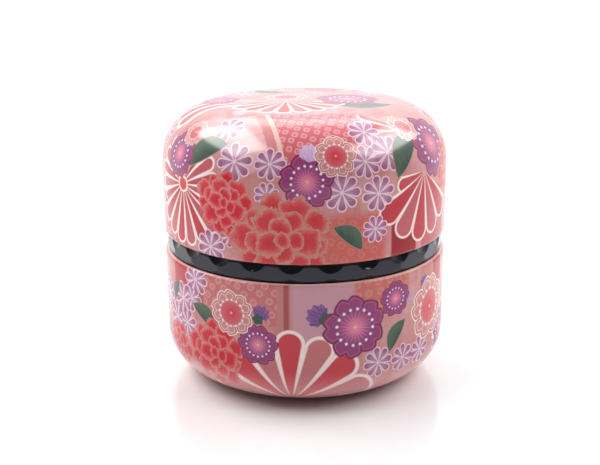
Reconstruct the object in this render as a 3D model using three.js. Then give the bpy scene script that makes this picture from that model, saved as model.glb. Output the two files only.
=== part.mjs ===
// Round tea caddy: a drawn and printed tinplate cup and lid that meet at a black faceted band.
// A bright tin sleeve pressed into the cup carries the band, guides the lid and takes the inner lid.
// Millimetres, +Z up, origin at the centre of the base. Everything is round about +Z.
import * as THREE from 'three';

// ---- Driving dimensions ----
const RADIUS = 41;              // outside of the cup and of the lid
const SHEET = 0.3;              // tinplate thickness
const CURL = 1;                 // radius of the curled edges of the cup and the lid
const SLIDE_GAP = 0.3;          // clearance between pieces that slide or stack

const RIM_Z = 37.7;             // top of the cup's curled rim
const BASE_CORNER = { flat: 21.1, height: 14.8, power: 2.34 };
const FOOT_WIDTH = 2.5;         // standing ring between the recessed base panel and the corner
const PANEL_LIFT = 1.2;         // how far the base panel is raised inside the foot
const PANEL_STEP = 0.9;         // width of the sloping step beside it

const LID_EDGE_Z = 43;          // underside of the lid's curled edge, with the lid on
const LID_SHOULDER = { flat: 22.8, height: 17.2, power: 2.24 };
const CROWN = 0.5;              // rise of the lid's plate at its centre
const HEIGHT = 80;              // overall, at the crown

const BAND_RADIUS = 40.5;       // crest of the band's barrel shape
const BAND_FACETS = 24;
const FACET_APOTHEM = 39.95;    // distance from the axis to the middle of each facet
const FACET_TURN = 2;           // degrees from the front to the nearest facet's middle
const BARREL_DROP = 0.86;       // how much the barrel falls back at the band's top and bottom edges

const SLEEVE_BOTTOM = 26;
const SLEEVE_TOP = 55;
const BEAD = 0.6;               // how far the sleeve's bead stands out to hold the band
const BEAD_HALF_HEIGHT = 1.2;

const PAN_DEPTH = 6;            // inner lid: from its flange down to its plate
const KNOB_RADIUS = 6;
const KNOB_HEIGHT = 8.5;        // above the inner lid's plate
const RIVET_RADIUS = 1.5;       // the knob's stem through the plate
const RIVET_HEAD = { radius: 3, thickness: 0.9 };

const SEGMENTS = 48;            // steps round the tin pieces
const BAND_SEGMENTS = BAND_FACETS * 3;
const KNOB_SEGMENTS = 24;

// ---- Worked-out dimensions ----
const CURL_CENTRE_R = RADIUS - CURL;
const SLEEVE_RADIUS = RADIUS - 2 * CURL - SLIDE_GAP;
const BAND_BORE = SLEEVE_RADIUS + SLIDE_GAP;
const BAND_BOTTOM = RIM_Z + SLIDE_GAP / 2;
const BAND_TOP = LID_EDGE_Z - SLIDE_GAP / 2;
const BAND_MIDDLE = (BAND_BOTTOM + BAND_TOP) / 2;
const BAND_HALF_HEIGHT = (BAND_TOP - BAND_BOTTOM) / 2;
const PLATE_Z = HEIGHT - CROWN;
const SHOULDER_Z = PLATE_Z - LID_SHOULDER.height;
const PAN_RADIUS = SLEEVE_RADIUS - SHEET - SLIDE_GAP;
const FLANGE_Z = SLEEVE_TOP + SLIDE_GAP / 2;
const PAN_Z = FLANGE_Z - PAN_DEPTH;          // underside of the inner lid's plate

// ---- Materials ----
const finish = (color, roughness, metalness) => new THREE.MeshStandardMaterial({ color, roughness, metalness });
const PRINTED_TIN = finish(0xd98c92, 0.25, 0.1);
const BRIGHT_TIN = finish(0xb9bbb8, 0.35, 1);
const BLACK_GLOSS = finish(0x0d0c0d, 0.15, 0);

// ---- Outlines: points of (radius, height), anticlockwise ----
const at = (radius, z) => new THREE.Vector2(radius, z);

// Points on a circular arc about (radius, z), from one angle to another in degrees.
function arc(radius, z, size, from, to, steps) {
  return Array.from({ length: steps + 1 }, (_, i) => {
    const angle = THREE.MathUtils.degToRad(from + ((to - from) * i) / steps);
    return at(radius + size * Math.cos(angle), z + size * Math.sin(angle));
  });
}

// A quarter of a superellipse from a straight wall round to a flat: up for rise > 0, down for rise < 0.
function corner(shape, wall, wallZ, rise, steps) {
  const bend = 2 / shape.power;
  return Array.from({ length: steps + 1 }, (_, i) => {
    const angle = (i / steps) * (Math.PI / 2);
    return at(
      shape.flat + (wall - shape.flat) * Math.max(Math.cos(angle), 0) ** bend,
      wallZ + rise * Math.sin(angle) ** bend,
    );
  });
}

function revolve(points, segments) {
  const geometry = new THREE.LatheGeometry(points, segments);
  return geometry.rotateX(Math.PI / 2);
}

const CORNER_STEPS = 7;
const CURL_STEPS = 6;

function bodyShell() {
  const shape = BASE_CORNER;
  const foot = shape.flat - FOOT_WIDTH;
  const curlZ = RIM_Z - CURL;
  return revolve([
    at(0, PANEL_LIFT),
    at(foot - PANEL_STEP, PANEL_LIFT),
    at(foot, 0),
    ...corner(shape, RADIUS, shape.height, -shape.height, CORNER_STEPS).reverse(),
    ...arc(CURL_CENTRE_R, curlZ, CURL, 0, 270, CURL_STEPS),
    ...arc(CURL_CENTRE_R, curlZ, CURL - SHEET, 270, 0, CURL_STEPS),
    ...corner(shape, RADIUS - SHEET, shape.height, SHEET - shape.height, CORNER_STEPS),
    at(foot + SHEET / 2, SHEET),
    at(foot - PANEL_STEP + SHEET / 2, PANEL_LIFT + SHEET),
    at(0, PANEL_LIFT + SHEET),
  ], SEGMENTS);
}

function lidShell() {
  const shape = LID_SHOULDER;
  const curlZ = LID_EDGE_Z + CURL;
  const halfway = shape.flat / 2;
  const crownAt = (radius) => PLATE_Z + CROWN * (1 - (radius / shape.flat) ** 2);
  return revolve([
    at(0, HEIGHT - SHEET),
    at(halfway, crownAt(halfway) - SHEET),
    ...corner(shape, RADIUS - SHEET, SHOULDER_Z, shape.height - SHEET, CORNER_STEPS).reverse(),
    ...arc(CURL_CENTRE_R, curlZ, CURL - SHEET, 0, -270, CURL_STEPS),
    ...arc(CURL_CENTRE_R, curlZ, CURL, -270, 0, CURL_STEPS),
    ...corner(shape, RADIUS, SHOULDER_Z, shape.height, CORNER_STEPS),
    at(halfway, crownAt(halfway)),
    at(0, HEIGHT),
  ], SEGMENTS);
}

// A straight tin tube with one bead pushed outwards, which the band snaps over.
function neckSleeve() {
  const bead = [
    [0, -BEAD_HALF_HEIGHT], [BEAD, -BEAD_HALF_HEIGHT / 2], [BEAD, BEAD_HALF_HEIGHT / 2], [0, BEAD_HALF_HEIGHT],
  ];
  const wall = (radius) => [
    at(radius, SLEEVE_BOTTOM),
    ...bead.map(([out, up]) => at(radius + out, BAND_MIDDLE + up)),
    at(radius, SLEEVE_TOP),
  ];
  const outside = wall(SLEEVE_RADIUS);
  return revolve([...outside, ...wall(SLEEVE_RADIUS - SHEET).reverse(), outside[0].clone()], SEGMENTS);
}

// The band is a barrel, and each facet is a flat plane parallel to the axis that cuts its crest away.
function collarBand() {
  const steps = 6;
  const barrel = Array.from({ length: steps + 1 }, (_, i) => {
    const height = (2 * i) / steps - 1;
    return at(BAND_RADIUS - BARREL_DROP * height ** 2, BAND_MIDDLE + height * BAND_HALF_HEIGHT);
  });
  const grooveHalf = BEAD_HALF_HEIGHT + SLIDE_GAP;
  const bore = [
    at(BAND_BORE, BAND_TOP),
    at(BAND_BORE, BAND_MIDDLE + grooveHalf),
    at(BAND_BORE + BEAD, BAND_MIDDLE + grooveHalf / 2),
    at(BAND_BORE + BEAD, BAND_MIDDLE - grooveHalf / 2),
    at(BAND_BORE, BAND_MIDDLE - grooveHalf),
    at(BAND_BORE, BAND_BOTTOM),
  ];
  const geometry = revolve([...barrel, ...bore, barrel[0].clone()], BAND_SEGMENTS);
  const position = geometry.attributes.position;
  const pitch = (2 * Math.PI) / BAND_FACETS;
  const middle = THREE.MathUtils.degToRad(FACET_TURN);
  for (let i = 0; i < position.count; i += 1) {
    const x = position.getX(i);
    const y = position.getY(i);
    const radius = Math.hypot(x, y);
    const fromMiddle = Math.atan2(x, -y) - middle;
    const offset = fromMiddle - pitch * Math.round(fromMiddle / pitch);
    const scale = Math.min(radius, FACET_APOTHEM / Math.cos(offset)) / radius;
    position.setXY(i, x * scale, y * scale);
  }
  return geometry;
}

function innerLidPan() {
  const top = FLANGE_Z + SHEET;
  const hole = RIVET_RADIUS + SLIDE_GAP;
  const outline = [
    at(hole, PAN_Z),
    at(PAN_RADIUS - 1, PAN_Z),
    at(PAN_RADIUS, PAN_Z + 1),
    at(PAN_RADIUS, FLANGE_Z),
    at(SLEEVE_RADIUS, FLANGE_Z),
    at(SLEEVE_RADIUS, top),
    at(PAN_RADIUS - SHEET, top),
    at(PAN_RADIUS - SHEET, PAN_Z + 1 + SHEET / 2),
    at(PAN_RADIUS - 1 - SHEET / 2, PAN_Z + SHEET),
    at(hole, PAN_Z + SHEET),
  ];
  return revolve([...outline, outline[0].clone()], SEGMENTS);
}

// A turned knob: its stem goes through the plate and is riveted over underneath.
function innerLidKnob() {
  const gap = SLIDE_GAP / 2;
  const seat = PAN_Z + SHEET + gap;
  const head = PAN_Z - gap;
  const top = PAN_Z + SHEET + KNOB_HEIGHT;
  const waist = KNOB_RADIUS * 0.55;
  const foot = KNOB_RADIUS * 0.75;
  return revolve([
    at(0, head - RIVET_HEAD.thickness),
    at(RIVET_HEAD.radius * 0.7, head - RIVET_HEAD.thickness),
    at(RIVET_HEAD.radius, head - RIVET_HEAD.thickness / 2),
    at(RIVET_HEAD.radius, head),
    at(RIVET_RADIUS, head),
    at(RIVET_RADIUS, seat),
    at(foot, seat),
    at(foot, seat + 0.8),
    at(waist, seat + 2.2),
    at(waist, seat + 3.4),
    ...arc(KNOB_RADIUS - 1.6, top - 1.6, 1.6, -60, 90, 5),
    at(0, top),
  ], KNOB_SEGMENTS);
}

// ---- Assembly ----
function piece(name, geometry, material) {
  const mesh = new THREE.Mesh(geometry, material);
  mesh.name = name;
  return mesh;
}

const caddy = new THREE.Group();
caddy.add(
  piece('body_shell', bodyShell(), PRINTED_TIN),
  piece('neck_sleeve', neckSleeve(), BRIGHT_TIN),
  piece('collar_band', collarBand(), BLACK_GLOSS),
  piece('inner_lid_pan', innerLidPan(), BRIGHT_TIN),
  piece('inner_lid_knob', innerLidKnob(), BLACK_GLOSS),
  piece('lid_shell', lidShell(), PRINTED_TIN),
);

export default caddy;
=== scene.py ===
"""A round printed tea caddy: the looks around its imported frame.

The cup and lid are smooth drawn shells with curled edges, the band has 24 flat facets, and the flower print
is drawn by nodes: every flower is a formula, placed on the tin by its angle round the caddy and its height.
"""
import math

import bpy
from mathutils import Matrix, Vector


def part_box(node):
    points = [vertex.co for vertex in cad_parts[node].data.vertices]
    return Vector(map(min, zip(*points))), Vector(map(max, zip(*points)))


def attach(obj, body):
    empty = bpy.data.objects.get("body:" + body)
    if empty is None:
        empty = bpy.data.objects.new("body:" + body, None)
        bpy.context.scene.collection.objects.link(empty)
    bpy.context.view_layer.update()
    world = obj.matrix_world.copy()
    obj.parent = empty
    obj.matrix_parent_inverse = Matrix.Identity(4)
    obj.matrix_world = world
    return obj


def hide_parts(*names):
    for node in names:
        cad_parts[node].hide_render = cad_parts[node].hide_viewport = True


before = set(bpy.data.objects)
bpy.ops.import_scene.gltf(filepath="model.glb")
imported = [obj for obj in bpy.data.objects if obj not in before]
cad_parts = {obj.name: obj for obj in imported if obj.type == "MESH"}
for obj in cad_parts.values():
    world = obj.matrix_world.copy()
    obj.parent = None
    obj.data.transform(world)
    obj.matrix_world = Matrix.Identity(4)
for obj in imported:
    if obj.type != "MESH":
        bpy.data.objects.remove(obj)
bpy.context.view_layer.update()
MM = 0.001

# ---- Sizes, in millimetres, from the frame where it has them ----
SHEET = 0.3
CURL = 1.0
GAP = 0.3
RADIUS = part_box("lid_shell")[1].x / MM
RIM_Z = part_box("body_shell")[1].z / MM
LID_EDGE_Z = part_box("lid_shell")[0].z / MM
TOP_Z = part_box("lid_shell")[1].z / MM
CROWN = 0.5
BASE_CORNER = {"flat": 21.1, "rise": 14.8, "power": 2.34}
LID_SHOULDER = {"flat": 22.8, "rise": 17.2, "power": 2.24}
FOOT_WIDTH = 2.5
PANEL_LIFT = 1.2
PANEL_STEP = 0.9
ROUND_STEPS = 192


# ---- Outlines and revolved meshes ----
def arc(radius, z, size, start, end, steps):
    """Points of (radius, z) on a circular arc, from one angle to another in degrees."""
    angles = [math.radians(start + (end - start) * i / steps) for i in range(steps + 1)]
    return [(radius + size * math.cos(a), z + size * math.sin(a)) for a in angles]


def corner(shape, wall, wall_z, rise, steps=36):
    """A quarter of a superellipse from a straight wall round to a flat."""
    bend = 2 / shape["power"]
    points = []
    for i in range(steps + 1):
        angle = i / steps * math.pi / 2
        radius = shape["flat"] + (wall - shape["flat"]) * max(math.cos(angle), 0) ** bend
        points.append((radius, wall_z + rise * math.sin(angle) ** bend))
    return points


def line(start, end, steps):
    """Evenly spaced points from start towards end, without the end itself."""
    return [tuple(a + (b - a) * i / steps for a, b in zip(start, end)) for i in range(steps)]


def revolve(name, outline, is_closed, inside_from=None, steps=ROUND_STEPS):
    """A mesh of an outline turned about Z. Faces from outline point inside_from on take material 1."""
    rings = len(outline)
    verts = []
    for radius, z in outline:
        for k in range(steps if radius > 1e-6 else 1):
            turn = 2 * math.pi * k / steps
            verts.append((radius * math.sin(turn) * MM, -radius * math.cos(turn) * MM, z * MM))
    starts = []
    total = 0
    for radius, _ in outline:
        starts.append(total)
        total += steps if radius > 1e-6 else 1
    faces = []
    inner = []
    for i in range(rings if is_closed else rings - 1):
        j = (i + 1) % rings
        low_is_point, high_is_point = outline[i][0] <= 1e-6, outline[j][0] <= 1e-6
        for k in range(steps):
            n = (k + 1) % steps
            if low_is_point and high_is_point:
                continue
            if low_is_point:
                face = (starts[i], starts[j] + n, starts[j] + k)
            elif high_is_point:
                face = (starts[i] + k, starts[i] + n, starts[j])
            else:
                face = (starts[i] + k, starts[i] + n, starts[j] + n, starts[j] + k)
            faces.append(face)
            inner.append(inside_from is not None and i >= inside_from)
    mesh = bpy.data.meshes.new(name)
    mesh.from_pydata(verts, [], faces)
    mesh.polygons.foreach_set("use_smooth", [True] * len(faces))
    mesh.polygons.foreach_set("material_index", [int(x) for x in inner])
    mesh.update()
    piece = bpy.data.objects.new(name, mesh)
    bpy.context.scene.collection.objects.link(piece)
    return piece


# ---- The tin's outside as a line to walk along, so that prints can be placed on it ----
SHOULDER_Z = TOP_Z - CROWN - LID_SHOULDER["rise"]
LID_LINE = line((RADIUS, LID_EDGE_Z), (RADIUS, SHOULDER_Z), 40) + corner(
    LID_SHOULDER, RADIUS, SHOULDER_Z, LID_SHOULDER["rise"])
BODY_LINE = line((RADIUS, RIM_Z), (RADIUS, BASE_CORNER["rise"]), 40) + corner(
    BASE_CORNER, RADIUS, BASE_CORNER["rise"], -BASE_CORNER["rise"])


def walk(outline, distance):
    """The point on an outline at a distance in millimetres from its start, and the direction there."""
    for start, end in zip(outline, outline[1:]):
        step = Vector(end) - Vector(start)
        if distance <= step.length:
            return Vector(start) + step.normalized() * distance, step.normalized()
        distance -= step.length
    return Vector(outline[-1]), step.normalized()


class Spot:
    """A place on the tin: a centre, the two directions that lie in the surface there, and a size."""

    def __init__(self, centre, right, up, size, turn, folds=True):
        self.centre = centre
        self.size = size
        self.folds = folds
        out = right.cross(up)
        self.rotation = (Matrix.Rotation(math.radians(turn), 3, out)
                         @ Matrix((right, up, out)).transposed()).to_euler()


def on_wall(outline, rising):
    """Makes spots on a wall from (angle from the front, distance along the outline, size, turn)."""
    def spot(angle, distance, size, turn=0.0):
        (radius, z), (dr, dz) = walk(outline, distance)
        a = math.radians(angle)
        up = Vector((dr * math.sin(a), -dr * math.cos(a), dz)) * rising
        right = Vector((math.cos(a), math.sin(a), 0))
        return Spot(Vector((radius * math.sin(a), -radius * math.cos(a), z)), right, up, size, turn)
    return spot


on_lid = on_wall(LID_LINE, 1)
on_body = on_wall(BODY_LINE, -1)


def on_plate(x, y, size, turn=0.0):
    """A spot on the lid's plate, which isn't repeated round the back."""
    centre = Vector((x, y, TOP_Z - CROWN / 2))
    return Spot(centre, Vector((1, 0, 0)), Vector((0, 1, 0)), size, turn, folds=False)


# ---- Drawing with nodes ----
class Field:
    """A value that varies over a surface: a node's output that takes Python arithmetic."""

    def __init__(self, art, socket):
        self.art = art
        self.socket = socket

    def __add__(self, other):
        return self.art.math("ADD", self, other)

    def __radd__(self, other):
        return self.art.math("ADD", other, self)

    def __sub__(self, other):
        return self.art.math("SUBTRACT", self, other)

    def __rsub__(self, other):
        return self.art.math("SUBTRACT", other, self)

    def __mul__(self, other):
        return self.art.math("MULTIPLY", self, other)

    def __rmul__(self, other):
        return self.art.math("MULTIPLY", other, self)

    def __truediv__(self, other):
        return self.art.math("DIVIDE", self, other)

    def __lt__(self, other):
        return self.art.math("LESS_THAN", self, other)

    def __abs__(self):
        return self.art.math("ABSOLUTE", self)


class Art:
    """A material's node tree as a sheet to draw on, in millimetres on the caddy at rest."""

    def __init__(self, name):
        self.material = bpy.data.materials.new(name)
        self.material.use_nodes = True
        self.tree = self.material.node_tree
        self.shader = self.tree.nodes["Principled BSDF"]
        place = self.node("ShaderNodeTexCoord", output="Object")
        self.point = self.vector("SCALE", place, scale=1 / MM)

    def node(self, kind, inputs=None, output=0, **settings):
        node = self.tree.nodes.new(kind)
        for name, value in settings.items():
            setattr(node, name, value)
        for key, value in (inputs or {}).items():
            if isinstance(value, Field):
                self.tree.links.new(value.socket, node.inputs[key])
            else:
                node.inputs[key].default_value = value
        return Field(self, node.outputs[output])

    def math(self, operation, *values):
        return self.node("ShaderNodeMath", dict(enumerate(values)), operation=operation)

    def vector(self, operation, *values, scale=None, output=0):
        inputs = dict(enumerate(values))
        if scale is not None:
            inputs["Scale"] = scale
        return self.node("ShaderNodeVectorMath", inputs, output, operation=operation)

    def parts(self, vector):
        """The x, y and z of a vector."""
        split = self.node("ShaderNodeSeparateXYZ", {0: vector})
        outputs = split.socket.node.outputs
        return [Field(self, outputs[i]) for i in range(3)]

    def join(self, x, y, z=0.0):
        return self.node("ShaderNodeCombineXYZ", {0: x, 1: y, 2: z})

    def step(self, value, soft=0.03):
        """0 where value is negative, 1 where it is positive, with a soft edge."""
        return self.node("ShaderNodeMapRange", {0: value, 1: -soft, 2: soft}, interpolation_type="SMOOTHSTEP")

    def ramp(self, value, low, high):
        """Runs smoothly from 0 at low to 1 at high."""
        return self.node("ShaderNodeMapRange", {0: value, 1: low, 2: high}, interpolation_type="SMOOTHSTEP")

    def mix(self, share, first, second):
        colours = {6: first, 7: second}
        filled = {k: c if isinstance(c, Field) else (*c, 1.0) for k, c in colours.items()}
        return self.node("ShaderNodeMix", {0: share, **filled}, 2, data_type="RGBA")

    def pick(self, share, first, second):
        return self.node("ShaderNodeMix", {0: share, 4: first, 5: second}, 1, data_type="VECTOR")

    def number(self, share, first, second):
        return self.node("ShaderNodeMix", {0: share, 2: first, 3: second}, data_type="FLOAT")

    def noise(self, vector, scale, detail=2.0, roughness=0.5):
        inputs = {"Vector": vector, "Scale": scale, "Detail": detail, "Roughness": roughness}
        return self.node("ShaderNodeTexNoise", inputs, "Fac")

    def gradient(self, value, *stops):
        """A colour ramp from (position, colour) stops."""
        field = self.node("ShaderNodeValToRGB", {0: value})
        elements = field.socket.node.color_ramp.elements
        while len(elements) < len(stops):
            elements.new(0.5)
        for element, (position, colour) in zip(elements, stops):
            element.position = position
            element.color = (*colour, 1.0)
        return field

    def front_half(self):
        """The point, turned half round where it is at the back, so that the print repeats there."""
        if not hasattr(self, "folded"):
            y = self.parts(self.point)[1]
            side = 1.0 - self.math("GREATER_THAN", y, 0.0) * 2.0
            self.folded = self.vector("MULTIPLY", self.point, self.join(side, side, 1.0))
        return self.folded

    def seen_from(self, spot):
        """The point in the spot's own directions, in units of its size."""
        point = self.front_half() if spot.folds else self.point
        inputs = {0: point, 1: spot.centre, 2: spot.rotation, 3: (spot.size,) * 3}
        return self.node("ShaderNodeMapping", inputs, vector_type="TEXTURE")

    def nearest(self, spots):
        """The point as seen from whichever spot is nearest, counted in units of that spot's size."""
        best = self.seen_from(spots[0])
        reach = self.vector("LENGTH", best, output=1)
        for spot in spots[1:]:
            other = self.seen_from(spot)
            distance = self.vector("LENGTH", other, output=1)
            best = self.pick(distance < reach, best, other)
            reach = self.math("MINIMUM", distance, reach)
        return best

    def polar(self, at):
        """The distance from the centre and the angle from +Y. Points off the spot's plane count as far."""
        x, y, z = self.parts(at)
        off_plane = self.math("MAXIMUM", abs(z) - 0.7, 0.0)
        reach = self.math("SQRT", x * x + y * y) + off_plane * 9.0
        return reach, self.math("ARCTAN2", x, y)


def upright(angle, z, size, turn=0.0):
    """A spot with an upright plane that touches the straight wall, for prints that run round a corner."""
    a = math.radians(angle)
    centre = Vector((RADIUS * math.sin(a), -RADIUS * math.cos(a), z))
    return Spot(centre, Vector((math.cos(a), math.sin(a), 0)), Vector((0, 0, 1)), size, turn)


# ---- Inks: linear colours ----
PALE_LINE = (0.90, 0.73, 0.69)
LILAC_LINE = (0.78, 0.55, 0.65)
CREAM = (0.72, 0.46, 0.38)
BROWN_LINE = (0.30, 0.13, 0.10)
RED = (0.60, 0.012, 0.024)
DEEP_RED = (0.33, 0.008, 0.014)
PLUM = (0.20, 0.022, 0.090)
PURPLE = (0.245, 0.050, 0.18)
MAGENTA = (0.35, 0.038, 0.15)
MAUVE = (0.33, 0.10, 0.20)
PALE_MAUVE = (0.44, 0.21, 0.33)
LEAF_DARK = (0.040, 0.070, 0.058)
LEAF_LIGHT = (0.085, 0.125, 0.080)


def daisy(art, ink, spots):
    """Eight mauve drop-shaped petals, each with a pale outline; the outlines meet in a small star."""
    reach, angle = art.polar(art.nearest(spots))
    fold = art.math("PINGPONG", angle, math.pi / 8)
    along = reach * art.math("COSINE", fold)
    across = reach * art.math("SINE", fold)
    widening, cap = 0.265, 0.78
    beyond = art.math("MAXIMUM", along - cap, 0.0)
    inside = art.math("MINIMUM", along, cap) * widening - art.math("SQRT", beyond * beyond + across * across)
    petal = art.mix(art.ramp(along, 0.35, 0.95), PALE_MAUVE, MAUVE)
    ink = art.mix(art.step(inside + 0.075, 0.025) * (reach < 1.12), ink, LILAC_LINE)
    ink = art.mix(art.step(inside - 0.005, 0.02), ink, petal)
    return art.mix(art.step(0.12 - reach, 0.03), ink, (0.70, 0.56, 0.60))


def blossom(art, ink, spots, look):
    """Five notched petals with an edge line, a rayed heart and a ring of dots."""
    reach, angle = art.polar(art.nearest(spots))
    fold = art.math("PINGPONG", angle, math.pi / 5)
    x = reach * art.math("COSINE", fold)
    y = reach * art.math("SINE", fold)
    out = art.math("POWER", abs(x - 0.68), 1.45) + art.math("POWER", abs(y - 0.175), 1.45)
    inside = art.math("MAXIMUM", 0.32 - art.math("POWER", out, 1 / 1.45), 0.70 - reach)
    rays = art.math("PINGPONG", angle, math.pi / 22) / (math.pi / 22)
    petal = art.mix(art.ramp(reach, 0.55, 0.95), look["petal"], look["petal_tip"])
    ink = art.mix(art.step(inside, 0.012), ink, look["edge"])
    ink = art.mix(art.step(inside - look["edge_width"], 0.012), ink, look["line"])
    ink = art.mix(art.step(inside - look["edge_width"] - 0.035, 0.012), ink, petal)
    contour = art.step(0.014 - abs(inside - look["edge_width"] - 0.10), 0.010)
    ink = art.mix(contour * look["contour"], ink, look["edge"])
    heart = art.mix(art.ramp(reach + rays * 0.22, 0.15, 0.62), look["heart"], look["ray"])
    ink = art.mix(art.step(look["heart_size"] - reach - rays * 0.06, 0.04), ink, heart)
    ink = art.mix(art.step(0.05 - reach, 0.03), ink, CREAM)
    dot_fold = art.math("PINGPONG", angle, math.pi / 16)
    dot_x = reach * art.math("COSINE", dot_fold) - 0.57
    dot_y = reach * art.math("SINE", dot_fold)
    dot = 0.046 - art.math("SQRT", dot_x * dot_x + dot_y * dot_y)
    return art.mix(art.step(dot, 0.02), ink, (0.92, 0.72, 0.80))


PURPLE_BLOSSOM = {
    "edge": PLUM, "edge_width": 0.075, "line": (0.40, 0.09, 0.22), "petal": PURPLE, "petal_tip": MAGENTA,
    "heart": (0.76, 0.22, 0.32), "ray": (0.32, 0.06, 0.20), "heart_size": 0.54, "contour": 0.25,
}
PINK_BLOSSOM = {
    "edge": PALE_LINE, "edge_width": 0.042, "line": (0.40, 0.15, 0.12), "petal": (0.57, 0.20, 0.20),
    "petal_tip": (0.60, 0.26, 0.25), "heart": (0.60, 0.035, 0.060), "ray": (0.60, 0.12, 0.13),
    "heart_size": 0.52, "contour": 0.7,
}


# how many petals each ring of a peony has, how far out and how large they are, and where the ring starts
PEONY_RINGS = ((10, 0.73, 0.28, 0.2), (6, 0.49, 0.30, 0.9), (4, 0.26, 0.25, 0.3), (1, 0.05, 0.20, 0.6))


def peony(art, ink, spots, hue):
    """A ruffled flower of round petals with frayed pale edges, where inner petals lie over outer ones."""
    at = art.nearest(spots)
    reach, _ = art.polar(at)
    flat = art.vector("MULTIPLY", at, (1.0, 1.0, 0.0))
    far = art.math("MAXIMUM", reach - 1.1, 0.0) * 30.0
    frayed = art.noise(at, 19.0, detail=1.0) * 0.7 + art.noise(at, 4.5, detail=0.0) - 0.85
    ruffle = frayed * 0.62 + 1.0 - far
    depth = ruffle * 0.0 - 1.0
    for count, distance, size, start in PEONY_RINGS:
        for k in range(count):
            turn = 2 * math.pi * k / count + start
            out = distance * (1 + 0.09 * math.sin(5 * turn))
            centre = (out * math.sin(turn), out * math.cos(turn), 0.0)
            grown = size * (1 + 0.20 * math.cos(3 * turn + count))
            away = art.vector("DISTANCE", flat, centre, output=1)
            petal = art.math("MULTIPLY_ADD", away, -1 / grown, ruffle)
            depth = art.number(art.math("GREATER_THAN", petal, 0.0), depth, petal)
    petals = art.gradient(depth, (0.0, BROWN_LINE), (0.04, hue["fringe"]), (0.08, hue["fringe"]),
                          (0.24, hue["edge"]), (0.48, hue["petal"]), (1.0, hue["heart"]))
    return art.mix(art.step(depth, 0.03), ink, petals)


RED_PEONY = {
    "fringe": (0.62, 0.22, 0.19), "edge": (0.62, 0.085, 0.098), "petal": RED, "heart": (0.50, 0.010, 0.018),
}
ROSE_PEONY = {
    "fringe": (0.58, 0.24, 0.19), "edge": (0.58, 0.115, 0.115), "petal": (0.60, 0.036, 0.044),
    "heart": (0.50, 0.024, 0.030),
}


def leaf(art, ink, spots):
    """A pointed leaf along X, bowed to one side."""
    at = art.nearest(spots)
    x, y, z = art.parts(at)
    reach, _ = art.polar(at)
    body = art.math("MAXIMUM", 1.0 - x * x, 0.0)
    side = y - 0.26 * body
    inside = 0.44 * art.math("POWER", body, 0.85) - abs(side) - art.math("MAXIMUM", abs(z) - 0.7, 0.0)
    shade = art.ramp(side + art.noise(at, 3.0) * 0.5, -0.15, 0.55)
    ink = art.mix(art.step(inside + 0.04, 0.02) * (reach < 1.05), ink, (0.42, 0.25, 0.20))
    return art.mix(art.step(inside, 0.02), ink, art.mix(shade, LEAF_DARK, LEAF_LIGHT))


def bud(art, ink, spots, hue, has_calyx=True):
    """A thistle-like bud: a toothed brush of petals that opens along +X from a green calyx."""
    at = art.nearest(spots)
    x, y, z = art.parts(at)
    x = x + 0.85
    reach = art.math("SQRT", x * x + y * y) + art.math("MAXIMUM", abs(z) - 0.7, 0.0) * 9.0
    angle = art.math("ARCTAN2", y, x)
    teeth = art.math("PINGPONG", angle, math.pi / 16) * 1.1
    inside = art.math("MINIMUM", 1.75 - angle * angle * 0.55 - teeth - reach, (1.15 - abs(angle)) * reach)
    streak = art.noise(art.join(angle * 3.4, reach * 0.5), 2.6)
    brush = art.mix(art.ramp(streak + reach * 0.12, 0.40, 0.80), hue[0], hue[1])
    ink = art.mix(art.step(inside, 0.05), ink, brush)
    if has_calyx:
        calyx = 0.50 - reach + art.math("PINGPONG", angle, math.pi / 5) * 0.3
        ink = art.mix(art.step(calyx, 0.04), ink, (0.030, 0.085, 0.070))
    return ink


def fan(art, ink, spot, petals, pitch, fill, narrow=0.82, line_width=0.045, hub=None, deepens=0.25):
    """Long round-ended petals that spread from a point, each inside a thick pale outline."""
    reach, angle = art.polar(art.seen_from(spot))
    step = math.radians(pitch)
    fold = art.math("PINGPONG", angle, step / 2)
    along = reach * art.math("COSINE", fold)
    across = reach * art.math("SINE", fold)
    widening = math.tan(step / 2) * narrow
    cap = 1 / (1 + widening)
    beyond = art.math("MAXIMUM", along - cap, 0.0)
    inside = art.math("MINIMUM", along, cap) * widening - art.math("SQRT", beyond * beyond + across * across)
    in_spread = art.step((petals / 2) * step + 0.03 - abs(angle), 0.01)
    number = art.math("ROUND", angle / step)
    is_odd = art.math("ABSOLUTE", art.math("MODULO", number, 2.0))
    colour = art.mix(is_odd, fill[0], fill[1])
    colour = art.mix(art.ramp(reach, 1.0, 0.35) * deepens, colour, DEEP_RED)
    ink = art.mix(art.step(inside + line_width, 0.012) * in_spread, ink, PALE_LINE)
    ink = art.mix(art.step(inside, 0.012) * in_spread, ink, colour)
    if hub:
        ink = art.mix(art.step(hub + 0.04 - reach, 0.012), ink, PALE_LINE)
        ink = art.mix(art.step(hub - reach, 0.012), ink, (0.62, 0.035, 0.035))
    return ink


def kanoko(art, ink, mask, spot, spacing, ground, strength=0.6):
    """Rows of small tie-dyed squares, each a pale ring with a dot in it."""
    grid = art.vector("SCALE", art.seen_from(spot), scale=1 / spacing)
    inputs = {"Vector": grid, "Scale": 1.0, "Randomness": 0.28, "Exponent": 2.6}
    cell = art.node("ShaderNodeTexVoronoi", inputs, "Distance", voronoi_dimensions="2D", distance="MINKOWSKI")
    ring = art.step(0.085 - abs(cell - 0.25), 0.05)
    dot = art.step(0.05 - cell, 0.04)
    ink = art.mix(mask, ink, ground)
    return art.mix(mask * art.math("MAXIMUM", ring, dot) * strength, ink, (0.76, 0.44, 0.42))


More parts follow.
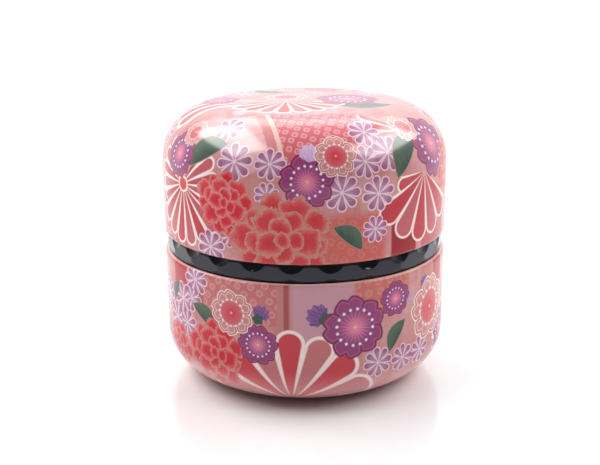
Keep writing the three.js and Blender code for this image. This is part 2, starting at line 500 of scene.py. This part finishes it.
def ground(art):
    """Soft upright streaks of salmon, pink and lilac under the flowers, with a fine pearly mottle."""
    streaks = art.vector("MULTIPLY", art.point, (0.055, 0.055, 0.008))
    tone = art.noise(streaks, 1.6, detail=3.0)
    base = art.gradient(tone, (0.30, (0.54, 0.15, 0.14)), (0.42, (0.55, 0.22, 0.21)),
                        (0.50, (0.58, 0.27, 0.27)), (0.58, (0.53, 0.18, 0.17)), (0.70, (0.56, 0.27, 0.31)))
    cloud = art.noise(art.point, 0.22, detail=4.0)
    base = art.mix(art.ramp(cloud, 0.40, 0.80) * 0.35, base, (0.66, 0.42, 0.40))
    speck = art.noise(art.point, 1.9, detail=2.0)
    return art.mix(art.ramp(speck, 0.45, 0.75) * 0.25, base, (0.46, 0.15, 0.12))


def box_mask(art, left, right, low, high, soft=0.4):
    """1 between two angles and two heights on the front half, in degrees and millimetres."""
    x, y, z = art.parts(art.front_half())
    arc_mm = art.math("ARCTAN2", x, 0.0 - y) * RADIUS
    scale = math.radians(1) * RADIUS
    sides = art.step(arc_mm - left * scale, soft) * art.step(right * scale - arc_mm, soft)
    return sides * art.step(z - low, soft) * art.step(high - z, soft)


# ---- The two prints: where each flower lies ----
def lid_print(art):
    ink = ground(art)
    # a pale area, partly pale print and partly painted highlight, then a tie-dyed panel on the front shoulder
    # behind a red stripe and a crackled pale line
    panel = on_lid(4, 36, 1.0)
    x, y, z = art.parts(art.seen_from(panel))
    edge = x + 9.7 + 0.18 * y + (art.noise(art.point, 0.9) - 0.5) * 0.6
    near = art.step(9.5 - abs(y - 1.5), 0.3) * art.step(8.0 - abs(z + 4.0), 0.3)
    # painted highlight over pale print: the area on the left of the shoulder is lightened
    pale_print_and_highlight = near * art.step(edge + 11.0, 1.5) * art.step(0.0 - edge, 0.3)
    ink = art.mix(pale_print_and_highlight * 0.6, ink, (0.76, 0.44, 0.45))
    stripe = near * art.step(edge + 3.0, 0.2) * art.step(0.3 - edge, 0.2)
    ink = art.mix(stripe * 0.8, ink, (0.56, 0.17, 0.16))
    dyed = near * art.step(edge, 0.1) * art.step(11.5 - x, 0.4)
    ink = kanoko(art, ink, dyed, on_lid(4, 36, 1.0, turn=-22), 2.45, (0.57, 0.115, 0.14))
    ink = art.mix(near * art.step(0.62 - abs(edge), 0.15), ink, (0.78, 0.47, 0.42))
    # upright bands near the lid's edge
    ink = art.mix(box_mask(art, 33.5, 46.5, 40, 53), ink, DEEP_RED)
    ink = art.mix(box_mask(art, 47, 50, 40, 60), ink, (0.58, 0.26, 0.27))
    ink = art.mix(box_mask(art, 50, 70, 40, 60), ink, (0.50, 0.10, 0.11))
    dyed = box_mask(art, 4, 31, 40, 56, 1.5)
    ink = kanoko(art, ink, dyed, on_lid(18, 6, 1.0, turn=-30), 3.1, (0.58, 0.115, 0.095), 0.12)
    ink = kanoko(art, ink, box_mask(art, -76, -59, 40, 60), on_lid(-66, 8, 1.0), 2.9, (0.53, 0.13, 0.13))

    ink = leaf(art, ink, [on_plate(16.0, -8.0, 8.5, 186)])
    petal_pair = ((0.50, 0.035, 0.050), (0.50, 0.10, 0.13))
    ink = fan(art, ink, upright(-53, 61.2, 16.5, 173), 7, 19, petal_pair, narrow=0.74, line_width=0.035)
    ink = fan(art, ink, upright(-53, 61.2, 13.5, 78), 4, 20, petal_pair, narrow=0.70)
    ink = fan(art, ink, upright(-53, 61.2, 13.5, -76), 4, 20, petal_pair, narrow=0.70, hub=0.13)
    ink = fan(art, ink, upright(51, 64.6, 10.5, 106), 1, 28, petal_pair, line_width=0.05)
    ink = fan(art, ink, upright(51, 64.6, 18.6, 174), 5, 24, petal_pair, line_width=0.032)
    ink = fan(art, ink, on_plate(-5.1, -4.5, 16.0, 178), 9, 19, petal_pair, narrow=0.72, line_width=0.06)
    ink = fan(art, ink, on_plate(-9, -3, 27.0, 96), 3, 13, petal_pair, narrow=0.66, line_width=0.03)
    ink = fan(art, ink, on_lid(45, 33.5, 11.5, 62), 2, 26, petal_pair, narrow=0.76, line_width=0.06)
    ink = daisy(art, ink, [
        on_lid(-27.2, 26.6, 5.0, 10), on_lid(-13, 26.6, 4.1, 5), on_lid(-14, 18.6, 3.3, 20),
        on_lid(22.8, 26.7, 4.3, 8), on_lid(33.2, 28.4, 4.8, 15), on_lid(13.2, 19.2, 4.9),
        on_lid(27.6, 18.1, 4.7, 12), on_lid(26.4, 8.7, 3.6, 20), on_lid(-37.8, 2.8, 4.6, 12),
        on_lid(-29, 6.6, 2.9), on_lid(26, 35.1, 4.3), on_lid(-35.6, 36.0, 4.2, 10), on_lid(90, 12, 5.0),
        on_lid(-90, 12, 5.0), on_lid(82, 4.5, 3.8, 10), on_lid(-80, 30, 4.2), on_plate(20, 14, 4.4),
        on_plate(-18, 12, 4.6, 12), on_plate(4, 14, 4.0, 5), on_plate(-14, 20, 4.4, 8),
    ])
    ink = leaf(art, ink, [
        on_lid(43.2, 27.2, 7.4, 48), on_lid(-41.2, 27.6, 6.9, 32), on_lid(15.6, 6.9, 5.0, -40),
        on_lid(78, 12, 6.0, -60), on_plate(-10, 16, 6.0, 140),
    ])
    ink = blossom(art, ink, [
        on_lid(0.6, 22.2, 7.2, 8), on_lid(-57, 26.0, 6.5), on_lid(60.5, 28.0, 8.8, 20),
        on_plate(12.4, 0, 9.0), on_plate(-24, 1, 5.5), on_lid(-85, 22, 6.5, 30), on_lid(95, 22, 6.5, 30),
    ], PURPLE_BLOSSOM)
    ink = bud(art, ink, [on_lid(1.8, 29.7, 2.9, 80), on_plate(-17.5, -19.0, 2.4, 10)],
              ((0.52, 0.32, 0.52), (0.66, 0.46, 0.66)), False)
    ink = peony(art, ink, [on_lid(-31.6, 15.2, 8.7), on_lid(74, 20, 8.0, 40)], RED_PEONY)
    ink = peony(art, ink, [on_lid(-8.5, 6.2, 13.0, 25), on_plate(6, 21, 6.5)], ROSE_PEONY)
    return blossom(art, ink, [
        on_lid(11.5, 28.7, 5.6), on_lid(-53, 32.8, 4.1), on_lid(48.4, 35.0, 4.8), on_plate(-5.3, 3.6, 6.4),
        on_lid(84, 34, 5.0),
    ], PINK_BLOSSOM)


def body_print(art):
    ink = ground(art)
    # panels and stripes from the rim down
    dyed = box_mask(art, -42, -10.5, 26, 40)
    ink = kanoko(art, ink, dyed, on_body(-26, 6, 1.0, turn=-35), 2.9, (0.54, 0.15, 0.15), 0.4)
    ink = art.mix(box_mask(art, -5.2, 18, 21, 40, 0.8), ink, (0.56, 0.28, 0.33))
    ink = art.mix(box_mask(art, -10.5, -5.6, 23.5, 40, 0.25), ink, (0.50, 0.20, 0.19))
    ink = art.mix(box_mask(art, -8.2, -6.2, 23.5, 40, 0.25), ink, (0.38, 0.072, 0.080))
    ink = kanoko(art, ink, box_mask(art, 19, 43, 29, 40), on_body(28, 4, 1.0), 3.2, (0.55, 0.14, 0.12), 0.25)
    ink = art.mix(box_mask(art, -63, -53, 30, 40), ink, (0.46, 0.040, 0.045))
    ink = art.mix(box_mask(art, -46, -42.5, 28, 40), ink, (0.44, 0.10, 0.07))
    ink = art.mix(box_mask(art, 61, 70, 20, 40), ink, (0.46, 0.045, 0.055))
    ink = art.mix(box_mask(art, 70.6, 73, 20, 40), ink, (0.60, 0.30, 0.28))

    ink = daisy(art, ink, [
        on_body(-47, 2.6, 4.6), on_body(-56, 9.6, 4.6, 15), on_body(-49.5, 8.4, 3.9),
        on_body(-62, 16.5, 4.6, 5), on_body(-53.5, 16.5, 4.4, 20), on_body(28.5, 23.8, 4.4, 8),
        on_body(40.5, 24.4, 4.0), on_body(51, 24.2, 4.0, 12), on_body(-71, 11, 4.4), on_body(90, 6, 4.6),
        on_body(-90, 6, 4.6), on_body(84, 26, 4.2), on_body(67, 28, 3.6),
    ])
    ink = leaf(art, ink, [
        on_body(-42.5, 12.6, 5.2, -32), on_body(37.4, 17.3, 4.9, 56), on_body(-61.5, 8.5, 3.6, 60),
        on_body(80, 16, 6.0, 70),
    ])
    ink = bud(art, ink, [
        on_body(-16.6, 8.2, 2.5, 62), on_body(4.2, 8.4, 3.4, 152), on_body(53.6, 4.6, 2.2, 80),
    ], ((0.13, 0.030, 0.16), (0.26, 0.11, 0.32)))
    ink = bud(art, ink, [on_body(42.5, 7.2, 2.2, 10)], ((0.40, 0.22, 0.46), (0.48, 0.32, 0.52)), False)
    fan_pair = ((0.57, 0.040, 0.055), (0.53, 0.15, 0.16))
    ink = fan(art, ink, upright(-6, 2.6, 21.6), 7, 25, fan_pair, narrow=0.78, deepens=0.0)
    ink = fan(art, ink, upright(84, 4.0, 20.0), 5, 22, fan_pair, narrow=0.78)
    ink = peony(art, ink, [
        on_body(-37.6, 22.4, 9.8, 15), on_body(-61, 24.5, 7.0, 60), on_body(-95, 20, 9.0),
        on_body(85, 20, 9.0),
    ], RED_PEONY)
    # painted light: the colour is paled towards the bottom, to lift the shade where the base corner turns
    # under
    height = art.parts(art.point)[2]
    ink = art.mix(art.ramp(height, 14.0, 3.0) * 0.42, ink, (0.88, 0.50, 0.50))
    ink = blossom(art, ink, [
        on_body(-18.2, 17.4, 5.8), on_body(18.7, 12.5, 9.0, 16), on_body(36.2, 6.5, 5.1),
        on_body(71, 22, 6.0), on_body(-79, 24, 6.0),
    ], PURPLE_BLOSSOM)
    return blossom(art, ink, [
        on_body(-29, 9.4, 6.6, 20), on_body(58.2, 12.9, 9.4), on_body(-80, 13, 6.5), on_body(-72, 30, 5.5),
    ], PINK_BLOSSOM)


# ---- Materials ----
def printed_tin(name, draw, edge_highlight):
    """The print under a thick clear varnish, with a painted highlight: a thin pale line where the sheet curls
    under.
    """
    art = Art(name)
    ink = draw(art)
    z = art.parts(art.point)[2]
    edge_z, side = edge_highlight
    # painted highlight: a thin pale line along the curled edge
    ink = art.mix(art.step(0.18 - (z - edge_z) * side, 0.10) * 0.7, ink, (0.80, 0.52, 0.52))
    ink = art.node("ShaderNodeHueSaturation", {"Hue": 0.499, "Saturation": 1.0, "Value": 1.16, "Color": ink})
    art.tree.links.new(ink.socket, art.shader.inputs["Base Color"])
    pearl = art.ramp(art.noise(art.point, 0.5, detail=3.0), 0.3, 0.7) * 0.10 + 0.30
    art.tree.links.new(pearl.socket, art.shader.inputs["Roughness"])
    bump = art.node("ShaderNodeBump", {"Strength": 0.04, "Distance": 0.0002,
                                       "Height": art.noise(art.point, 0.35, detail=2.0)}, "Normal")
    art.tree.links.new(bump.socket, art.shader.inputs["Normal"])
    art.shader.inputs["Coat Weight"].default_value = 1.0
    art.shader.inputs["Coat Roughness"].default_value = 0.16
    gloss = 1.40 + art.ramp(z, SHOULDER_Z - 4, SHOULDER_Z + 5) * 0.38
    art.tree.links.new(gloss.socket, art.shader.inputs["Coat IOR"])
    art.shader.inputs["Specular IOR Level"].default_value = 0.0
    return art.material


def bright_tin(name):
    """Bare tinplate: fine drawn lines round the axis and a faint crystal mottle."""
    art = Art(name)
    lines = art.noise(art.vector("MULTIPLY", art.point, (0.03, 0.03, 3.0)), 2.0, detail=3.0)
    spangle = art.noise(art.point, 0.35, detail=3.0)
    shade = art.gradient(lines * 0.6 + spangle * 0.4, (0.3, (0.50, 0.50, 0.49)), (0.7, (0.68, 0.68, 0.66)))
    art.tree.links.new(shade.socket, art.shader.inputs["Base Color"])
    rough = 0.22 + art.ramp(lines, 0.3, 0.7) * 0.16
    art.tree.links.new(rough.socket, art.shader.inputs["Roughness"])
    bump = art.node("ShaderNodeBump", {"Strength": 0.05, "Distance": 0.0001, "Height": lines}, "Normal")
    art.tree.links.new(bump.socket, art.shader.inputs["Normal"])
    art.shader.inputs["Metallic"].default_value = 1.0
    return art.material


def black_gloss(name):
    """Glossy black plastic with faint haze and a few fine specks of dust."""
    art = Art(name)
    haze = art.noise(art.point, 0.4, detail=4.0)
    dust = art.ramp(art.noise(art.point, 4.0, detail=1.0), 0.76, 0.80)
    plastic = art.gradient(haze, (0.3, (0.002, 0.003, 0.004)), (0.8, (0.005, 0.006, 0.010)))
    shade = art.mix(dust * 0.5, plastic, (0.10, 0.10, 0.10))
    art.tree.links.new(shade.socket, art.shader.inputs["Base Color"])
    rough = 0.07 + art.ramp(haze, 0.35, 0.8) * 0.10 + dust * 0.2
    art.tree.links.new(rough.socket, art.shader.inputs["Roughness"])
    art.shader.inputs["IOR"].default_value = 1.58
    art.shader.inputs["Specular Tint"].default_value = (0.84, 0.85, 1.0, 1.0)
    return art.material


# ---- The pieces ----
def lid_outline():
    """The lid's sheet, from the plate's inside down to the curled edge and back up the outside."""
    curl_r, curl_z = RADIUS - CURL, LID_EDGE_Z + CURL
    flat = LID_SHOULDER["flat"]
    crown = [(flat * i / 8, TOP_Z - CROWN * (i / 8) ** 2) for i in range(8)]
    inside = [(r, z - SHEET) for r, z in crown]
    inside += corner(LID_SHOULDER, RADIUS - SHEET, SHOULDER_Z, LID_SHOULDER["rise"] - SHEET)[::-1]
    inside += line((RADIUS - SHEET, SHOULDER_Z), (RADIUS - SHEET, curl_z), 10)[1:]
    inside += arc(curl_r, curl_z, CURL - SHEET, 0, -270, 20)
    outside = arc(curl_r, curl_z, CURL, -270, 0, 24)
    outside += line((RADIUS, curl_z), (RADIUS, SHOULDER_Z), 10)[1:]
    outside += corner(LID_SHOULDER, RADIUS, SHOULDER_Z, LID_SHOULDER["rise"])
    return inside + outside + crown[::-1], len(inside)


def cup_outline():
    """The cup's sheet, from under the base up the outside to the curled rim and down the inside."""
    curl_r, curl_z = RADIUS - CURL, RIM_Z - CURL
    flat, rise = BASE_CORNER["flat"], BASE_CORNER["rise"]
    foot = flat - FOOT_WIDTH
    panel = foot - PANEL_STEP
    outside = [(0, PANEL_LIFT), (panel - 2, PANEL_LIFT), (panel - 0.2, PANEL_LIFT),
               (panel, PANEL_LIFT - 0.1), (foot - 0.2, 0.15), (foot, 0.0), (foot + 1.2, 0.0)]
    outside += corner(BASE_CORNER, RADIUS, rise, -rise)[::-1]
    outside += line((RADIUS, rise), (RADIUS, curl_z), 10)[1:]
    outside += arc(curl_r, curl_z, CURL, 0, 270, 24)
    inside = arc(curl_r, curl_z, CURL - SHEET, 270, 0, 20)
    inside += line((RADIUS - SHEET, curl_z), (RADIUS - SHEET, rise), 10)[1:]
    inside += corner(BASE_CORNER, RADIUS - SHEET, rise, SHEET - rise)
    inside += [(foot + 0.2, SHEET), (foot - 0.1, SHEET + 0.1), (panel, PANEL_LIFT + SHEET - 0.05),
               (panel - 0.3, PANEL_LIFT + SHEET), (0, PANEL_LIFT + SHEET)]
    return outside + inside, len(outside)


BAND_LOW, BAND_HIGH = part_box("collar_band")[0].z / MM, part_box("collar_band")[1].z / MM
BAND_MIDDLE = (BAND_LOW + BAND_HIGH) / 2
BAND_HALF = (BAND_HIGH - BAND_LOW) / 2
BAND_RADIUS = 40.5
FACET_APOTHEM = 39.95
FACETS = 24
FACET_TURN = 2.0
BARREL_DROP = 0.86
# the band's hollows: the share of the half height where they start, how deep and how steeply they are cut,
# and how fast they run out on both sides of a ridge
SCOOP = {"above": 0.08, "below": 0.50, "depth": 1.13, "bend": 0.66, "curve": 93.0}
SLEEVE_LOW, SLEEVE_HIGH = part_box("neck_sleeve")[0].z / MM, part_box("neck_sleeve")[1].z / MM
SLEEVE_RADIUS = RADIUS - 2 * CURL - GAP


def soft_min(a, b, blend):
    """The smaller of two numbers, with the corner between them rounded off."""
    h = max(blend - abs(a - b), 0.0) / blend
    return min(a, b) - h * h * blend / 4


def band_mesh(name):
    """A barrel cut by flat upright facets, with a hollow over and under each ridge between two facets."""
    rows, per_facet = 44, 30
    rounding = 0.22
    outline = []
    for i in range(rows + 1):
        height = 2 * i / rows - 1
        z = BAND_MIDDLE + height * BAND_HALF
        inset = max(abs(height) * BAND_HALF - (BAND_HALF - rounding), 0.0)
        drop = rounding - math.sqrt(max(rounding ** 2 - inset ** 2, 0.0))
        outline.append((BAND_RADIUS - BARREL_DROP * height ** 2 - drop, z))
    bore = SLEEVE_RADIUS + GAP
    outline += [(bore, BAND_HIGH), (bore, BAND_LOW)]
    piece = revolve(name, outline, is_closed=True, steps=FACETS * per_facet)
    pitch = 2 * math.pi / FACETS
    ridge = FACET_APOTHEM / math.cos(pitch / 2)
    for vert in piece.data.vertices:
        x, y, height = vert.co.x / MM, vert.co.y / MM, (vert.co.z / MM - BAND_MIDDLE) / BAND_HALF
        radius = math.hypot(x, y)
        turn = math.atan2(x, -y) - math.radians(FACET_TURN)
        offset = turn - pitch * round(turn / pitch)
        into = abs(height) - SCOOP["above" if height > 0 else "below"]
        hollow = ridge - SCOOP["depth"] * max(into, 0.0) ** SCOOP["bend"]
        hollow += SCOOP["curve"] * (pitch / 2 - abs(offset)) ** 2
        cut = soft_min(soft_min(radius, FACET_APOTHEM / math.cos(offset), 0.05), hollow, 0.08)
        scale = cut / radius
        if radius > bore + 0.3:
            vert.co.x *= scale
            vert.co.y *= scale
    piece.data.update()
    return piece


def sleeve_outline():
    """A straight tin tube with one bead pushed outwards and a slightly rounded mouth."""
    bead, half = 0.6, 1.2

    def wall(radius):
        bulge = [(radius + bead * (1 - abs(i / 8) ** 2.4), BAND_MIDDLE + half * i / 8) for i in range(-8, 9)]
        return [(radius, SLEEVE_LOW)] + bulge + [(radius, SLEEVE_HIGH - 0.1)]

    outside = wall(SLEEVE_RADIUS)
    lip = [(SLEEVE_RADIUS - 0.06, SLEEVE_HIGH), (SLEEVE_RADIUS - SHEET + 0.06, SLEEVE_HIGH)]
    return outside + lip + wall(SLEEVE_RADIUS - SHEET)[::-1]


PAN_LOW, PAN_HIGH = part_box("inner_lid_pan")[0].z / MM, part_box("inner_lid_pan")[1].z / MM
KNOB_LOW, KNOB_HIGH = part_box("inner_lid_knob")[0].z / MM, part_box("inner_lid_knob")[1].z / MM
KNOB_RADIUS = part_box("inner_lid_knob")[1].x / MM
RIVET_RADIUS = 1.5


def pan_outline():
    """The inner lid: a flange, a wall down into the sleeve, and a plate with two pressed rings."""
    wall = SLEEVE_RADIUS - SHEET - GAP
    flange_low = PAN_HIGH - SHEET
    hole = RIVET_RADIUS + GAP
    bend, fillet = 1.1, 0.25
    steps = 90

    def ring(radius, middle, width):
        return 0.28 * math.exp(-((radius - middle) / width) ** 2)

    def plate(lift):
        radii = [hole + (wall - 2.0 - hole) * i / steps for i in range(steps + 1)]
        return [(r, PAN_LOW + ring(r, 30, 0.9) + ring(r, 12, 0.8) + lift) for r in radii]

    outside = plate(0) + arc(wall - bend, PAN_LOW + bend, bend, -80, 0, 8)
    outside += arc(wall + fillet, flange_low - fillet, fillet, 180, 90, 4)
    rim = arc(SLEEVE_RADIUS - SHEET / 2, PAN_HIGH - SHEET / 2, SHEET / 2, -80, 80, 6)
    inside = arc(wall + fillet, flange_low - fillet, fillet + SHEET, 90, 180, 5)
    inside += arc(wall - bend, PAN_LOW + bend, bend - SHEET, 0, -80, 8)
    return outside + rim + inside + plate(SHEET)[::-1]


def knob_outline():
    """A turned knob on a foot, with a domed top and a riveted stem under the plate."""
    seat = PAN_LOW + SHEET + GAP / 2
    head_top = PAN_LOW - GAP / 2
    foot, waist = KNOB_RADIUS * 0.75, KNOB_RADIUS * 0.52
    outline = [(0, KNOB_LOW), (1.6, KNOB_LOW + 0.05)] + arc(2.5, KNOB_LOW + 0.45, 0.45, -60, 60, 6)
    outline += [(2.4, head_top), (RIVET_RADIUS, head_top), (RIVET_RADIUS, seat), (foot - 0.2, seat)]
    outline += arc(foot - 0.3, seat + 0.35, 0.3, -60, 70, 6)
    parts = [i / 10 for i in range(11)]
    outline += [(waist + (foot - 0.5 - waist) * (1 - t) ** 2, seat + 0.75 + 2.6 * t) for t in parts]
    outline += [(waist + (KNOB_RADIUS - 1.3 - waist) * t ** 2, seat + 3.35 + 1.6 * t) for t in parts[1:]]
    outline += arc(KNOB_RADIUS - 1.25, KNOB_HIGH - 1.75, 1.25, -70, 60, 10)
    edge, edge_z = outline[-1]
    rise = KNOB_HIGH - edge_z
    outline += [(edge * (1 - t), edge_z + rise * math.sin(t * math.pi / 2)) for t in parts[1:]]
    return outline


def fit_out(piece, node, body, slot, *materials):
    """Puts a finished piece in place of its CAD node."""
    for material in materials:
        piece.data.materials.append(material)
    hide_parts(node)
    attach(piece, body)


def build_pieces():
    tin = bright_tin("bright_tin")
    black = black_gloss("black_gloss")
    lid_points, lid_inside = lid_outline()
    cup_points, cup_outside = cup_outline()
    lid = revolve("printed_lid", lid_points, is_closed=False)
    for polygon in lid.data.polygons:
        polygon.material_index = int(polygon.index < (lid_inside - 1) * ROUND_STEPS)
    cup = revolve("printed_cup", cup_points, is_closed=False, inside_from=cup_outside)
    lid_ink = printed_tin("lid_print", lid_print, (LID_EDGE_Z, 1))
    cup_ink = printed_tin("cup_print", body_print, (RIM_Z, -1))
    fit_out(lid, "lid_shell", "lid", "printed_tin", lid_ink, tin)
    fit_out(cup, "body_shell", "caddy_body", "printed_tin", cup_ink, tin)
    fit_out(band_mesh("faceted_band"), "collar_band", "caddy_body", "black_gloss", black)
    sleeve = revolve("tin_sleeve", sleeve_outline(), is_closed=True)
    fit_out(sleeve, "neck_sleeve", "caddy_body", "bright_tin", tin)
    pan = revolve("inner_lid", pan_outline(), is_closed=True)
    fit_out(pan, "inner_lid_pan", "inner_lid", "bright_tin", tin)
    knob = revolve("knob", knob_outline(), is_closed=False, steps=64)
    fit_out(knob, "inner_lid_knob", "inner_lid", "black_gloss", black)


# ---- Floor, light and camera ----
def floor():
    """A wide, pale, glossy floor."""
    mesh = bpy.data.meshes.new("floor")
    reach = 6.0
    corners = [(-reach, -reach, 0), (reach, -reach, 0), (reach, reach, 0), (-reach, reach, 0)]
    mesh.from_pydata(corners, [], [(0, 1, 2, 3)])
    ground_plane = bpy.data.objects.new("floor", mesh)
    bpy.context.scene.collection.objects.link(ground_plane)
    material = bpy.data.materials.new("floor_paper")
    material.use_nodes = True
    shader = material.node_tree.nodes["Principled BSDF"]
    shader.inputs["Base Color"].default_value = (0.90, 0.925, 0.93, 1)
    shader.inputs["Roughness"].default_value = 0.16
    shader.inputs["Coat Weight"].default_value = 1.0
    shader.inputs["Coat IOR"].default_value = 1.6
    shader.inputs["Coat Roughness"].default_value = 0.12
    mesh.materials.append(material)


def area_light(name, place, target, width, height, radiance):
    """A softbox of a given brightness that faces a point."""
    data = bpy.data.lights.new(name, "AREA")
    data.shape = "RECTANGLE"
    data.size = width
    data.size_y = height
    data.energy = math.pi * width * height * radiance
    light = bpy.data.objects.new(name, data)
    light.location = place
    light.rotation_euler = (Vector(target) - Vector(place)).to_track_quat("-Z", "Y").to_euler()
    bpy.context.scene.collection.objects.link(light)


def lights():
    aim = (0, 0, 0.04)
    area_light("left_softbox", (-0.485, 0.04, 0.67), aim, 0.85, 0.42, 5.1)
    area_light("right_softbox", (0.55, 0.01, 0.62), aim, 0.85, 0.40, 4.4)
    area_light("backdrop_light", (0, 1.3, 1.3), (0, 1.5, 0), 2.4, 1.2, 1.6)
    studio()


def studio():
    """White walls at the sides and behind, and a dim room in front."""
    world = bpy.data.worlds.new("studio")
    world.use_nodes = True
    tree = world.node_tree
    nodes, links = tree.nodes, tree.links
    split = nodes.new("ShaderNodeSeparateXYZ")
    links.new(nodes.new("ShaderNodeTexCoord").outputs["Generated"], split.inputs[0])
    strength = nodes.new("ShaderNodeMapRange")
    strength.interpolation_type = "SMOOTHSTEP"
    for i, value in ((1, -0.45), (2, 0.80), (3, 0.11), (4, 1.12)):
        strength.inputs[i].default_value = value
    links.new(split.outputs["Y"], strength.inputs[0])
    links.new(strength.outputs[0], nodes["Background"].inputs["Strength"])
    nodes["Background"].inputs["Color"].default_value = (1, 1, 1, 1)
    bpy.context.scene.world = world


def camera():
    """The view slightly from above: 16.3 degrees up, 308 mm from a point on the axis at half height."""
    elevation, distance, aim_z = math.radians(16.28), 0.3083, 0.0401
    aside, roll = -0.0014, math.radians(-0.29)
    data = bpy.data.cameras.new("camera")
    data.lens = 62.3
    data.sensor_width = 36.0
    view = bpy.data.objects.new("camera", data)
    view.location = (aside, -distance * math.cos(elevation), aim_z + distance * math.sin(elevation))
    tilt = Matrix.Rotation(math.pi / 2 - elevation, 3, "X") @ Matrix.Rotation(roll, 3, "Z")
    view.rotation_euler = tilt.to_euler()
    bpy.context.scene.collection.objects.link(view)
    bpy.context.scene.camera = view
    bpy.context.scene.view_settings.view_transform = "Standard"


camera()
lights()
floor()
build_pieces()
